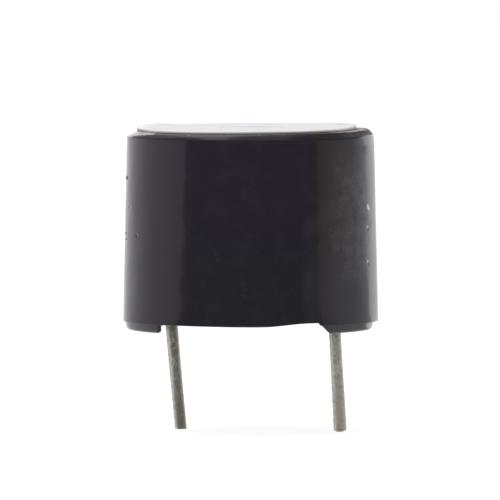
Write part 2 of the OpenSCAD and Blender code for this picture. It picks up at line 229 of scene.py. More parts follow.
def build(name, shape, material, slot, node, sharp_deg=35, bevel=0.0):
    """A piece that rides on the one body and stands for a CAD node. Its slot is not used."""
    piece = mesh_object(name, shape, material)
    piece.data.set_sharp_from_angle(angle=radians(sharp_deg))
    if bevel:
        rounding = piece.modifiers.new("rounding", "BEVEL")
        rounding.width = bevel * MM
        rounding.segments = 3
        rounding.limit_method = "ANGLE"
        rounding.angle_limit = radians(sharp_deg)
        rounding.harden_normals = True
    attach(piece, "root")
    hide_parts(node)
    return piece


def loft(rings, stack_closed=False):
    """Points and quads between rings of equal size, the last joined to the first if stack_closed is set."""
    size = len(rings[0])
    faces = []
    for i in range(len(rings) if stack_closed else len(rings) - 1):
        low, high = i * size, (i + 1) % len(rings) * size
        for k in range(size):
            n = (k + 1) % size
            faces.append((low + k, low + n, high + n, high + k))
    return [p for ring in rings for p in ring], faces


def capped_loft(rings):
    """A loft whose first and last rings are closed by flat ends, the last two faces."""
    points, faces = loft(rings)
    size = len(rings[0])
    faces.append(tuple(reversed(range(size))))
    faces.append(tuple(range(len(points) - size, len(points))))
    return points, faces


def lathe(profile, sides, centre_x=0.0):
    """A closed solid of revolution about an upright line. The profile runs counter-clockwise in (r, z)
    from the axis back to the axis."""
    wall, quads = loft([ring(radius, z, sides, centre_x) for radius, z in profile[1:-1]])
    points = [(centre_x, 0.0, profile[0][1])] + wall + [(centre_x, 0.0, profile[-1][1])]
    last = len(points) - 1
    faces = [(0, 1 + (k + 1) % sides, 1 + k) for k in range(sides)]
    faces += [tuple(1 + i for i in quad) for quad in quads]
    faces += [(last - sides + k, last - sides + (k + 1) % sides, last) for k in range(sides)]
    return points, faces


def merge(*shapes):
    """Joins several (points, faces) pairs into one."""
    points, faces = [], []
    for shape_points, shape_faces in shapes:
        start = len(points)
        points += shape_points
        faces += [tuple(start + i for i in face) for face in shape_faces]
    return points, faces


def flipped(shape):
    points, faces = shape
    return points, [tuple(reversed(face)) for face in faces]


# ---- case
def wall_radius(z):
    """Drafted outer wall, from the parting line to the top."""
    low = PARTING_Z + PARTING_ROUND
    return blend(CASE_R, TOP_R, (z - low) / (CASE_TOP - low))


def roof(x):
    """Height of the channel roof: low beside the negative foot, higher beside the positive one."""
    return ROOF_Z - ROOF_DIP * smooth(*DIP_X, x) + ROOF_RISE * smooth(*RISE_X, x)


def rim_z(x):
    """Lower edge of the wall: the roof and slope of the channel, and the parting line above the feet."""
    if x < CHANNEL_LEFT:
        return PARTING_Z
    if x < RAMP_LEFT:
        return roof(x)
    return max(PARTING_Z, roof(RAMP_LEFT) * (CHANNEL_RIGHT - x) / RAMP_W)


def top_round(angle):
    """Width, height and squareness of the rounded top edge, which is uneven round the case."""
    left = max(0.0, -cos(angle)) ** 2
    right = max(0.0, cos(angle)) ** 2
    front = sin(angle) ** 2
    return [a * left + b * right + c * front for a, b, c in zip(EDGE_LEFT, EDGE_RIGHT, EDGE_FRONT)]


def case_section(angle):
    """One closed (r, z) section of the case at an angle: inner steps, top face, round, wall and rim."""
    rim_out = rim_z(CASE_R * cos(angle))
    section = [
        (BORE_R, board_high.z), (CHAMBER_R, board_high.z), (CHAMBER_R, SEAT_Z), (SEAT_R, SEAT_Z),
        (SEAT_R, LEDGE_Z), (CAVITY_R, LEDGE_Z), (CAVITY_R, CAVITY_TOP), (HOLE_R, CAVITY_TOP), (HOLE_R, CASE_TOP),
    ]
    width, height, power = top_round(angle)
    low_edge_z = CASE_TOP - height
    inner_r = wall_radius(low_edge_z) - width
    section += [(radius, CASE_TOP) for radius in spread(HOLE_R, inner_r, FACE_CUTS)[1:-1]]
    for turn in quarter(ROUND_CUTS):
        across = sin(turn) ** (2 / power)
        down = 1 - cos(turn) ** (2 / power)
        section.append((inner_r + width * across, CASE_TOP - height * down))
    section += [(wall_radius(z), z) for z in spread(low_edge_z, rim_out + PARTING_ROUND, WALL_CUTS)[1:]]
    rounded = CASE_R - PARTING_ROUND
    for turn in quarter(PARTING_CUTS)[1:]:
        section.append((rounded + PARTING_ROUND * cos(turn), rim_out + PARTING_ROUND * (1 - sin(turn))))
    rim = spread(rounded, BORE_R, RIM_CUTS)[1:]
    return section + [(radius, rim_z(radius * cos(angle))) for radius in rim]


def case_shell():
    """The case wall as one closed lofted shell, with extra sections where the channel ends."""
    angles = circle(CASE_SIDES)
    for x in (CHANNEL_LEFT - STEP_W, CHANNEL_LEFT + STEP_W, RAMP_LEFT, CHANNEL_RIGHT - RAMP_W * RAMP_LINE):
        turn = acos(x / CASE_R)
        angles += [turn, 2 * pi - turn]
    angles.sort()
    columns = [[tilted(polar(radius, angle, z)) for radius, z in case_section(angle)] for angle in angles]
    return loft(columns, stack_closed=True)


def foot(side):
    """One foot: a length of the foot ring that ends at the channel, with flat ends and a rounded lower edge."""
    top = PARTING_Z + FOOT_OVERLAP
    slope = (FOOT_TOP_R - FOOT_LOW_R) / PARTING_Z
    section = [(BORE_R, 0.0, 0.0)]  # radius, height and X of the centre
    for turn in quarter(FOOT_ROUND_CUTS):
        z = FOOT_ROUND * (1 - cos(turn))
        edge_r = FOOT_LOW_R + slope * z
        section.append((edge_r - FOOT_ROUND * (1 - sin(turn)), z, FOOT_SHIFT))
    section += [(FOOT_LOW_R + slope * top, top, FOOT_SHIFT), (BORE_R, top, 0.0)]
    columns = [[] for _ in range(FOOT_CUTS)]
    for radius, z, centre in section:
        end_x = CHANNEL_LEFT if side < 0 else CHANNEL_RIGHT - RAMP_W * min(1.0, z / roof(RAMP_LEFT))
        reach = acos(abs(end_x - centre) / radius)
        for column, turn in zip(columns, spread(-reach, reach, FOOT_CUTS)):
            column.append(polar(radius, turn if side > 0 else pi + turn, z, centre))
    return flipped(capped_loft(columns))


def make_case(material, end_material):
    """The wall and the two feet, whose flat ends have a material of their own."""
    finish = {"material": material, "slot": "case_plastic", "node": "case", "sharp_deg": 28}
    build("case_body", case_shell(), **finish)
    for side, name in ((-1, "negative_foot"), (1, "positive_foot")):
        piece = build(name, foot(side), bevel=FOOT_BEVEL, **finish)
        piece.data.materials.append(end_material)
        for end in list(piece.data.polygons)[-2:]:
            end.material_index = 1


# ---- label
def make_label(material):
    """The paper label: a thin disc with a soft cut edge that isn't perfectly round, curled up at its ends."""
    low, high = label_low.z, label_high.z
    rows = [(share, low) for share in LABEL_UNDER] + [(1.0, low + LABEL_LIP)]
    rows += [(share, high - depth) for share, depth in LABEL_EDGE] + [(share, high) for share in LABEL_FACE]
    points, faces = lathe([(share * LABEL_R, z) for share, z in rows], LABEL_SIDES, LABEL_X)
    (rag, rags, rag_place), (wave, waves, wave_place) = LABEL_RAGS, LABEL_WAVES
    shaped = []
    for x, y, z in points:
        angle = atan2(y, x - LABEL_X)
        ragged = 1 + rag * rumble(rags * cos(angle), rags * sin(angle), rag_place)
        rise = wave * rumble(waves * x, waves * y, wave_place) if z > low else 0.0
        curl = LEFT_CURL * smooth(*LEFT_CURL_X, x) + RIGHT_CURL * smooth(*RIGHT_CURL_X, x)
        rise += curl * blend(LEFT_FRONT_CURL if x < 0 else 0.0, 1.0, smooth(*CURL_Y, y)) * smooth(low, high, z)
        shaped.append(tilted((LABEL_X + (x - LABEL_X) * ragged, y * ragged, z + rise)))
    build("label_disc", (shaped, faces), material, "label_paper", "wash_label", sharp_deg=60)


# ---- pins
def pin_path(low_z, high_z, x, lean_deg):
    """Centre line of a pin from its upper end: upright, a short bend at the seating plane, then a straight lean."""
    lean = radians(lean_deg)
    path = [(x, z) for z in spread(high_z, PIN_BEND_R * sin(lean) + BEND_GAP, UPRIGHT_CUTS)]
    path += [(x + PIN_BEND_R * (1 - cos(turn)), PIN_BEND_R * (sin(lean) - sin(turn)))
             for turn in spread(0.0, lean, BEND_CUTS)]
    knee_x, knee_z = path[-1]
    reach = (knee_z - low_z - PIN_R * sin(lean)) / cos(lean)
    runs = spread(0.0, reach, LEAN_CUTS)[1:]
    return path + [(knee_x + run * sin(lean), knee_z - run * cos(lean)) for run in runs]


def pin_tube(path, radii, tip, seed, level_end=False):
    """A slightly uneven round bar along a path in the XZ plane. The tip is a list of (share of radius, length on)."""
    steps = [Vector((x, 0.0, z)) for x, z in path]
    rings = []
    for i, centre in enumerate(steps):
        along = (steps[min(i + 1, len(steps) - 1)] - steps[max(i - 1, 0)]).normalized()
        rings.append((centre, along, blend(*radii, smooth(0.0, -PIN_RUN, centre.z))))
    end, along, radius = rings.pop()
    facing = Vector((0.0, 0.0, -1.0)) if level_end else along
    rings += [(end + along * length, facing, radius * share) for share, length in tip]
    side_on = Vector((0.0, 1.0, 0.0))
    columns = []
    for centre, along, ring_r in rings:
        across = side_on.cross(along).normalized()
        wobble = PIN_WOBBLE * rumble(seed, centre.z * WOBBLES, 1.0) * smooth(*WOBBLE_Z, centre.z)
        points = []
        for turn in circle(PIN_SIDES):
            out = cos(turn) * across + sin(turn) * side_on
            uneven = rumble(*(centre * BROAD_DENTS[0] + out * BROAD_DENTS[1] + Vector((seed, 0, 0))))
            uneven += FINE_SHARE * rumble(*(centre * FINE_DENTS[0] + out * FINE_DENTS[1] + Vector((0, seed, 0))))
            points.append(tuple(centre + out * ring_r * (1 + PIN_DENTS * uneven) + across * wobble))
        columns.append(points)
    return capped_loft(columns)


def make_pins(negative_material, positive_material):
    """The negative pin is cut off level, and the positive one has a rounded tip."""
    path = pin_path(negative_low.z, negative_high.z, NEGATIVE_X, NEGATIVE_LEAN)
    shape = pin_tube(path, NEGATIVE_RADII, CUT_TIP, 3.0, level_end=True)
    build("negative_wire", shape, negative_material, "tinned_wire", "negative_pin")
    taken, length = ROUND_TIP
    rounded = [(1 - taken * (1 - cos(t)), -length * (1 - sin(t))) for t in quarter(TIP_CUTS)]
    rounded.append(ROUND_TIP_END)
    path = pin_path(positive_low.z, positive_high.z, POSITIVE_X, POSITIVE_LEAN)
    shape = pin_tube(path, POSITIVE_RADII, rounded, 8.0)
    build("positive_wire", shape, positive_material, "tinned_wire", "positive_pin")


# ---- potting
def make_potting(material):
    """Potting with a wavy surface that climbs the wall a little, and climbs each pin to a thin film."""
    profile = [(radius, POTTING_Z) for radius in spread(0.0, BORE_R, POTTING_CUTS)]
    points, faces = lathe(profile + [(BORE_R, board_low.z), (0.0, board_low.z)], POTTING_SIDES)
    waved = []
    for x, y, z in points:
        if z < board_low.z:
            z += sum(high * rumble(x * scale, y * scale, place) for high, scale, place in POTTING_WAVES)
            z -= WALL_CLIMB * smooth(BORE_R - WALL_CLIMB_W, BORE_R, hypot(x, y)) ** 2
        waved.append((x, y, z))
    climbs = [climb_shape(NEGATIVE_X, NEGATIVE_LEAN, *NEGATIVE_CLIMB),
              climb_shape(POSITIVE_X, POSITIVE_LEAN, *POSITIVE_CLIMB)]
    build("potting_fill", merge((waved, faces), *climbs), material, "potting_epoxy", "potting", sharp_deg=50)


def climb_shape(x, lean_deg, climb_z, film_z):
    """A hollow-sided climb round a pin that ends in a thin film, longer on one side than on the other."""
    film_r = PIN_R + FILM
    columns = []
    for t in spread(0.0, 1.0, CLIMB_CUTS):
        radius = film_r + PIN_CLIMB_W * (1 - t) ** PIN_CLIMB_HOLLOW
        z = blend(POTTING_Z + PIN_CLIMB_START, climb_z, t ** PIN_CLIMB_PACE)
        columns.append(ring(radius, z, CLIMB_SIDES, x))
    for share in spread(0.0, 1.0, FILM_CUTS)[1:]:
        points = []
        for turn in circle(CLIMB_SIDES):
            uneven = FILM_LEAN * cos(turn) + FILM_UNEVEN * rumble(2 * cos(turn), 2 * sin(turn), x)
            z = blend(climb_z, film_z + uneven, share)
            drift = max(0.0, 0.1 - z) * tan(radians(lean_deg))
            points.append(polar(film_r - FILM_TAPER * share, turn, z, x + drift))
        columns.append(points)
    return flipped(capped_loft(columns))


# ---- material helpers
class Look:
    """A short way to build the node tree of a material or world. Lengths in it are millimetres in object space."""

    def __init__(self, name, kind=bpy.data.materials, output="OutputMaterial"):
        self.owner = kind.new(name)
        self.owner.use_nodes = True
        self.tree = self.owner.node_tree
        self.tree.nodes.clear()
        self.output = self.add(output)
        metres = self.add("TexCoord").outputs["Object"]
        self.place = self.add("VectorMath", {0: metres, "Scale": 1 / MM}, operation="SCALE").outputs[0]
        self.x, self.y, self.z = self.add("SeparateXYZ", {"Vector": self.place}).outputs

    def add(self, kind, inputs=None, **settings):
        """A shader node of a kind, with its settings and inputs."""
        node = self.tree.nodes.new("ShaderNode" + kind)
        for key, value in settings.items():
            setattr(node, key, value)
        for key, value in (inputs or {}).items():
            self.put(node.inputs[key], value)
        return node

    def put(self, socket, value):
        """Links a socket, or sets a plain value."""
        if isinstance(value, bpy.types.NodeSocket):
            self.tree.links.new(value, socket)
        else:
            socket.default_value = value

    def vector(self, operation, *values):
        """Outputs of a vector math node: a vector first, and a number as Value."""
        return self.add("VectorMath", dict(enumerate(values)), operation=operation).outputs

    def math(self, operation, *values):
        return self.add("Math", dict(enumerate(values)), operation=operation).outputs[0]

    def product(self, first, *others):
        for other in others:
            first = self.math("MULTIPLY", first, other)
        return first

    def total(self, first, *others):
        for other in others:
            first = self.math("ADD", first, other)
        return first

    def weighted(self, first, *parts):
        """A value plus others, each as (value, weight)."""
        return self.total(first, *(self.product(part, weight) for part, weight in parts))

    def less(self, first, second):
        return self.math("SUBTRACT", first, second)

    def capped(self, value):
        return self.math("MINIMUM", value, 1.0)

    def noise(self, scale, detail=4.0, roughness=0.55, marks=None):
        """Fractal noise. Marks squeeze it by factors along X, Y and Z."""
        place = self.vector("MULTIPLY", self.place, marks)[0] if marks else self.place
        settings = {"Vector": place, "Scale": scale, "Detail": detail, "Roughness": roughness}
        return self.add("TexNoise", settings).outputs["Fac"]

    def cells(self, scale):
        """Distance from the nearest of many scattered points."""
        return self.add("TexVoronoi", {"Vector": self.place, "Scale": scale}).outputs["Distance"]

    def span(self, value, low, high, to_low=0.0, to_high=1.0):
        """Maps low..high of a value to to_low..to_high, clamped."""
        return self.add("MapRange", {
            "Value": value, "From Min": low, "From Max": high, "To Min": to_low, "To Max": to_high,
        }).outputs["Result"]

    def fall(self, value, low, high):
        """1 below low and 0 above high."""
        return self.span(value, low, high, 1.0, 0.0)

    def window(self, value, low, high, soft):
        """1 between low and high, and 0 outside, with soft edges."""
        return self.product(self.span(value, low - soft, low + soft), self.fall(value, high - soft, high + soft))

    def spot(self, centre, radius, soft):
        """1 within a radius of a point, and 0 outside."""
        return self.fall(self.vector("DISTANCE", self.place, centre)["Value"], radius - soft, radius + soft)

    def turn(self):
        """Angle round the case in degrees, 0 at the front and 90 at the positive side."""
        return self.product(self.math("ARCTAN2", self.x, self.product(self.y, -1.0)), 180 / pi)

    def mix(self, factor, first, second):
        """Mixes two colours, given as sockets or as (r, g, b)."""
        node = self.add("Mix", data_type="RGBA")
        sockets = {socket.identifier: socket for socket in node.inputs}
        self.put(sockets["Factor_Float"], factor)
        for key, value in (("A_Color", first), ("B_Color", second)):
            self.put(sockets[key], value if isinstance(value, bpy.types.NodeSocket) else (*value, 1.0))
        return next(socket for socket in node.outputs if socket.identifier == "Result_Color")

    def coats(self, colour, *layers):
        """Lays coats over a colour, each as (where, colour) or (where, colour, strength)."""
        for where, coat, *strength in layers:
            colour = self.mix(self.product(where, *strength), colour, coat)
        return colour

    def bumps(self, *layers):
        """Bumps from the lowest up, each as (height, distance). A height of 1 stands the distance in millimetres."""
        normal = None
        for height, distance in layers:
            node = self.add("Bump", {"Height": height, "Distance": distance * MM})
            if normal is not None:
                self.put(node.inputs["Normal"], normal)
            normal = node.outputs["Normal"]
        return normal

    def surface(self, **inputs):
        """The Principled shader. Constants go straight on its own sockets."""
        shader = self.add("BsdfPrincipled")
        for key, value in inputs.items():
            self.put(shader.inputs[key.replace("_", " ")], value)
        return self.done(shader)

    def done(self, shader):
        self.put(self.output.inputs["Surface"], shader.outputs[0])
        return self.owner


MIDDLE, WIDE = (0.3, 0.7), (0.2, 0.8)  # ranges that most of the noise lies in


# ---- materials of the case
COMMON_IOR = 1.5  # of plastics, epoxy and ceramic

# Linear colours. The wall varies from dark to pale, and is bluer low at the front than elsewhere.
FRONT_DARK, FRONT_PALE = (0.0118, 0.0116, 0.0163), (0.0155, 0.0152, 0.0213)
OTHER_DARK, OTHER_PALE = (0.0142, 0.0112, 0.0182), (0.0185, 0.0146, 0.0236)
CLOUD, DUST, SCUFF = (0.025, 0.023, 0.031), (0.10, 0.095, 0.10), (0.080, 0.075, 0.081)
# The brown, lilac and violet tints are painted shade, laid by angle round the case.
BROWN_SHADE, LILAC_SHADE, VIOLET_SHADE = (0.0182, 0.0138, 0.0150), (0.0172, 0.0142, 0.0205), (0.0200, 0.0125, 0.0230)
# The near-black gouge colour is painted shade in the gouges' hollows.
NICK, FLECK, GOUGE_SHADE, CHIP = (0.014, 0.012, 0.013), (0.11, 0.12, 0.12), (0.004, 0.004, 0.004), (0.52, 0.53, 0.52)
DULL_DARK, DULL_PALE = (0.034, 0.030, 0.029), (0.095, 0.085, 0.08)
# The pale streak and rim colours on the right top edge are painted highlights.
STREAK_HIGHLIGHT, RIM_HIGHLIGHT = (0.48, 0.44, 0.42), (0.50, 0.46, 0.44)
# The pale left top edge is partly wear and partly painted highlight; the first colour is paler to make up for the
# shade at the far left.
WORN_LIT_SIDE, WORN_LIT_FRONT = (0.86, 0.84, 0.81), (0.58, 0.54, 0.50)

# Marks on the wall: (degrees round the case from the front, height, radius, softness).
CHIPS = ((74.8, 5.84, 0.11, 0.04), (76.2, 5.72, 0.08, 0.03), (73.5, 4.88, 0.06, 0.03), (73.2, 3.28, 0.07, 0.03))
PITS = ((73.7, 4.77, 0.08, 0.03), (73.5, 3.16, 0.07, 0.03))
FLECKS = (
    (-10.0, 3.75, 0.10, 0.09), (-9.0, 3.50, 0.08, 0.07), (2.2, 2.40, 0.10, 0.09), (3.2, 2.15, 0.08, 0.07),
    (2.8, 1.85, 0.10, 0.09),
)
# Gouges: (degrees, height, half width in degrees, half height, share of GOUGE_DEPTH).
GOUGES = (
    (-75.8, 7.15, 2.8, 0.07, 1.0), (-74.8, 4.55, 2.0, 0.05, 0.6), (-73.4, 4.28, 1.6, 0.04, 0.5),
    (-68.3, 5.80, 1.3, 0.05, 0.12), (-58.5, 4.53, 0.8, 0.04, 0.22),
)
GOUGE_DEPTH, GOUGE_SOFT = 0.30, 0.6  # the softness is a share of the half width or height


def on_wall(turn_deg, z):
    """A point on the outer wall, by its angle from the front and its height."""
    turn = radians(turn_deg)
    radius = wall_radius(z)
    return (radius * sin(turn), -radius * cos(turn), z)


def wall_spots(look, marks):
    return look.total(*(look.spot(on_wall(at, z), radius, soft) for at, z, radius, soft in marks))


def wall_gouges(look, turn):
    return look.total(*(
        look.product(
            look.window(turn, at - reach, at + reach, GOUGE_SOFT * reach),
            look.window(look.z, z - tall, z + tall, GOUGE_SOFT * tall), depth,
        )
        for at, z, reach, tall, depth in GOUGES
    ))


def wall_tint_and_shade(look, turn, grain):
    """The plastic's own colour, with broad painted shade tints: brown and lilac to the right, violet to the left."""
    high = look.span(look.z, 3.0, 6.5)
    other = look.math("MAXIMUM", high, look.less(1.0, look.window(turn, -25.0, 35.0, 2.0)))
    dark, pale = look.mix(other, FRONT_DARK, OTHER_DARK), look.mix(other, FRONT_PALE, OTHER_PALE)
    cloud = look.noise(0.9, detail=5.0, roughness=0.6)
    brown_shade = look.product(look.window(turn, 37.0, 58.0, 1.5), look.span(look.z, 0.6, 3.6, 0.45, 1.0))
    lilac_shade = look.product(look.span(turn, 36.0, 42.0), look.span(look.z, 4.6, 3.0))
    violet_shade = look.product(look.window(turn, -78.0, -25.0, 3.0), look.span(look.z, 0.0, 8.5, 0.4, 1.0))
    return look.coats(
        look.mix(look.span(grain, *MIDDLE), dark, pale),
        (look.span(cloud, 0.5, 0.7), CLOUD, 0.35), (brown_shade, BROWN_SHADE), (lilac_shade, LILAC_SHADE), (violet_shade, VIOLET_SHADE, 0.7),
    )


def side_wear(look, turn):
    """A scuffed patch with ragged ends on the right side, and the nicks in it."""
    ragged = look.total(turn, look.span(look.noise(0.9, detail=7.0, roughness=0.72), *MIDDLE, -11.0, 11.0))
    side = look.product(
        look.span(ragged, 47.0, 54.0), look.fall(ragged, 70.0, 98.0), look.window(look.z, 2.6, 7.9, 0.6),
    )
    scuffs = look.product(side, look.span(look.noise(2.2, detail=6.0, roughness=0.65), 0.30, 0.66))
    return scuffs, look.product(side, look.fall(look.cells(1.7), 0.10, 0.16))


def left_edge_wear_and_highlight(look, turn, top):
    """The top edge pale round the left end, partly rubbed wear and partly painted highlight, in a band that gets
    thinner towards the front and is painted paler towards the far left.
    """
    band = look.less(top, look.span(turn, -84.0, -49.0, -0.26, -0.055))
    thick = look.product(look.span(turn, -128.0, -92.0), look.fall(turn, -54.0, -44.0))
    rubbed = look.weighted(look.noise(6.5, detail=8.0, roughness=0.7), (thick, 0.24))
    return look.product(look.span(band, -0.015, 0.015), look.span(rubbed, 0.59, 0.74))


def right_edge_wear_and_highlights(look, turn, top, crumbs):
    """The top edge at the right end: a dull band, with a crumbled streak and rim of painted highlight along its upper
    side.
    """
    dull = look.product(look.span(top, -0.24, -0.20), look.window(turn, 56.0, 116.0, 4.0))
    streak_highlight = look.product(
        look.span(top, -0.02, 0.01), look.window(turn, 52.0, 72.0, 3.0), look.span(crumbs, 0.4, 0.56),
    )
    rim = look.product(
        look.span(top, -0.02, 0.03), look.span(turn, 56.0, 64.0), look.fall(turn, 96.0, 122.0),
        look.span(crumbs, 0.42, 0.54, 0.15, 1.0),
    )
    return dull, streak_highlight, rim


def case_look():
    """Glossy black plastic: faint moulding waves, fine dust and scratches, wall marks, painted shade tints and gouge
    shade, a worn top edge with painted highlights.
    """
    look = Look("glossy black plastic")
    turn = look.turn()
    top = look.less(look.less(look.z, CASE_TOP), look.product(look.x, TOP_TILT))  # height above the top face
    waves = look.noise(0.35, detail=2.0)
    grain = look.noise(9.0, detail=6.0, roughness=0.65)
    crumbs = look.noise(5.0, detail=7.0, roughness=0.7)
    dust = look.span(look.noise(30.0, detail=3.0), 0.66, 0.74)
    scratches = look.span(look.noise(3.0, detail=5.0, roughness=0.7, marks=(2.0, 2.0, 16.0)), 0.6, 0.72)
    scuffs, nicks = side_wear(look, turn)
    gouges = wall_gouges(look, turn)
    dull, streak_highlight, rim = right_edge_wear_and_highlights(look, turn, top, crumbs)
    worn_and_lit = left_edge_wear_and_highlight(look, turn, top)
    colour = look.coats(
        wall_tint_and_shade(look, turn, grain),
        (dust, DUST, 0.35), (scuffs, SCUFF, 0.45), (nicks, NICK, 0.8), (wall_spots(look, FLECKS), FLECK, 0.08),
        (look.capped(gouges), GOUGE_SHADE), (dull, look.mix(look.span(crumbs, 0.5, 0.6), DULL_DARK, DULL_PALE)),
        (look.capped(wall_spots(look, CHIPS)), CHIP), (streak_highlight, STREAK_HIGHLIGHT), (rim, RIM_HIGHLIGHT),
        (worn_and_lit, look.mix(look.span(turn, -84.0, -62.0), WORN_LIT_SIDE, WORN_LIT_FRONT)),
    )
    rough = look.weighted(
        look.span(grain, *WIDE, 0.055, 0.095),
        (scratches, 0.03), (scuffs, 0.28), (worn_and_lit, 0.45), (dull, 0.4), (gouges, 0.5),
    )
    normal = look.bumps(
        (waves, 0.05), (grain, 0.0012), (scuffs, 0.004), (wall_spots(look, PITS), -0.05), (gouges, -GOUGE_DEPTH),
    )
    return look.surface(Base_Color=colour, Roughness=rough, IOR=COMMON_IOR, Normal=normal)


def cut_look():
    """The dull ends of the feet: the same plastic with a fine rough skin."""
    look = Look("dull black plastic")
    grain = look.noise(14.0, detail=6.0, roughness=0.7)
    colour = look.mix(look.span(grain, *MIDDLE), (0.014, 0.013, 0.018), (0.024, 0.022, 0.028))
    return look.surface(
        Base_Color=colour, Roughness=look.span(grain, *WIDE, 0.6, 0.75), IOR=COMMON_IOR,
        Specular_IOR_Level=0.12, Normal=look.bumps((grain, 0.006)),
    )


# ---- material of the label
LABEL_T = label_high.z - label_low.z
# The paler tip colour is a painted highlight on the label's left tip.
PAPER_DARK, PAPER_PALE, PAPER_TIP_HIGHLIGHT = (0.795, 0.805, 0.82), (0.855, 0.855, 0.86), (0.95, 0.95, 0.945)
# The cut edge colours are painted shade, darkest at its foot; the third is a painted shadow under the left tip.
CUT_SHADE_LOW, CUT_SHADE_HIGH, CUT_SHADE = (0.38, 0.33, 0.33), (0.74, 0.70, 0.70), (0.16, 0.14, 0.14)
INK = (0.42, 0.62, 0.84)
# Two bars and a cross: (left, right, front, back).
PRINT = ((-1.4, 1.7, -0.75, -0.35), (-0.9, 1.2, 0.35, 0.75), (3.70, 4.62, 0.75, 1.01), (4.03, 4.29, 0.42, 1.34))
PRINT_SOFT = 0.03


def paper_look():
    """White paper with its fibres, faint pale-blue bars and a cross, a painted highlight on the left tip and a cut
    edge painted greyer as shade.
    """
    look = Look("label paper")
    fibres = look.noise(14.0, detail=6.0, roughness=0.7)
    fine = look.noise(60.0, detail=2.0)
    bars = look.total(*(
        look.product(look.window(look.x, left, right, PRINT_SOFT), look.window(look.y, front, back, PRINT_SOFT))
        for left, right, front, back in PRINT
    ))
    face = look.coats(
        look.mix(look.span(fibres, *MIDDLE), PAPER_DARK, PAPER_PALE),
        (look.span(look.x, -4.5, -5.0), PAPER_TIP_HIGHLIGHT),
        (look.product(look.capped(bars), look.span(fine, 0.3, 0.6, 0.7, 1.0)), INK, 0.6),
    )
    height = look.less(look.z, look.total(look.product(look.x, TOP_TILT), label_low.z))
    # Painted shade on the cut edge: darker low down, darker still under the left tip, and used on every face that
    # doesn't look up.
    under_tip = look.product(look.span(look.x, -4.4, -4.9), look.span(height, LABEL_T, 0.04))
    cut_shaded = look.coats(look.mix(look.span(height, 0.01, LABEL_T), CUT_SHADE_LOW, CUT_SHADE_HIGH), (under_tip, CUT_SHADE, 0.75))
    facing = look.add("NewGeometry").outputs["Normal"]
    slope = look.add("SeparateXYZ", {"Vector": facing}).outputs["Z"]
    return look.surface(
        Base_Color=look.mix(look.fall(slope, 0.35, 0.9), face, cut_shaded), IOR=1.45,
        Roughness=look.span(fibres, *MIDDLE, 0.55, 0.75), Normal=look.bumps((fine, 0.002), (fibres, 0.006)),
    )


# ---- materials of the pins and the potting
POCK, BLOT_DARK, BLOT_PALE = (0.14, 0.125, 0.11), (0.22, 0.18, 0.15), (0.78, 0.74, 0.69)
# The pale drag colour is a painted highlight line; the stain colour also paints shade at the pin's root.
DRAG_HIGHLIGHT, STAIN_AND_SHADE = (0.88, 0.83, 0.77), (0.14, 0.115, 0.09)


def wire_look(name, axis_x, lean_deg, dark_from, dark_to, bright, dull, patch, stain_and_shade_to, end_level):
    """Solder-dipped wire: beige-grey metal, mottled and pocked, with pale streaks dragged lengthwise as a painted
    highlight line, painted side shade from dark_from to dark_to aside of its axis along X, a stain with painted shade
    at its root down to stain_and_shade_to, and darker towards its end by end_level."""
    look = Look(name)
    axis_run = look.product(look.math("MINIMUM", look.z, 0.0), -tan(radians(lean_deg)))
    aside = look.less(look.x, look.total(axis_run, axis_x))
    drags = look.noise(7.0, detail=5.0, roughness=0.7, marks=(3.0, 3.0, 0.6))
    mottle = look.noise(4.0, detail=7.0, roughness=0.75)
    fine = look.noise(22.0, detail=5.0, roughness=0.7)
    streaks = look.noise(3.2, detail=8.0, roughness=0.8, marks=(2.4, 2.4, 1.0))
    blots = look.noise(5.5, detail=4.0, roughness=0.6, marks=(1.6, 1.6, 1.0))
    pocks = look.product(look.fall(look.cells(6.0), 0.10, 0.30), look.span(fine, 0.4, 0.6))
    # The tarnish mask here is painted side shade: one side of the pin, aside of its axis, is painted darker.
    tarnish = look.window(look.total(aside, look.span(mottle, *MIDDLE, -0.05, 0.05)), dark_from, dark_to, 0.05)
    # A painted highlight line: pale dragged streaks in a band just beside the axis.
    drag_highlight = look.product(
        look.window(aside, -0.20, -0.10, 0.03), look.span(streaks, 0.42, 0.58), look.span(look.z, -3.4, -2.2),
    )
    # A stain at the root, with painted shade where the case shades the pin.
    stain_and_shade = look.product(look.window(look.z, stain_and_shade_to, 0.4, 0.12), look.span(mottle, 0.35, 0.6, 0.05, 0.35))
    end = look.product(
        look.span(look.z, -1.8, -4.4), look.span(aside, -0.20, -0.04), look.span(aside, -0.04, 0.28, 1.0, 0.6),
    )
    colour = look.coats(
        look.mix(look.span(mottle, 0.35, 0.65), bright, tuple(0.78 * c for c in bright)),
        (look.product(tarnish, look.span(streaks, 0.36, 0.60, patch, 1.0)), dull), (pocks, POCK, 0.5),
        (look.span(blots, 0.53, 0.64, 0.0, 0.60), BLOT_DARK), (look.span(blots, 0.45, 0.34, 0.0, 0.55), BLOT_PALE),
        (drag_highlight, DRAG_HIGHLIGHT, 0.6), (stain_and_shade, STAIN_AND_SHADE), (end, tuple(end_level * c for c in dull)),
    )
    return look.surface(
        Base_Color=colour, Metallic=0.9, Normal=look.bumps((fine, 0.007), (drags, 0.014), (mottle, 0.03)),
        Roughness=look.weighted(look.span(drags, *MIDDLE, 0.24, 0.36), (tarnish, 0.12)),
    )


def negative_wire_look():
    return wire_look(
        "tinned wire, dark painted side shade", NEGATIVE_X, NEGATIVE_LEAN, dark_from=-0.11, dark_to=0.21,
        bright=(0.68, 0.64, 0.58), dull=(0.25, 0.23, 0.20), patch=0.5, stain_and_shade_to=-0.05, end_level=0.86,
    )


def positive_wire_look():
    return wire_look(
        "tinned wire", POSITIVE_X, POSITIVE_LEAN, dark_from=-0.14, dark_to=0.19,
        bright=(0.74, 0.70, 0.63), dull=(0.61, 0.56, 0.48), patch=0.2, stain_and_shade_to=-0.30, end_level=0.76,
    )


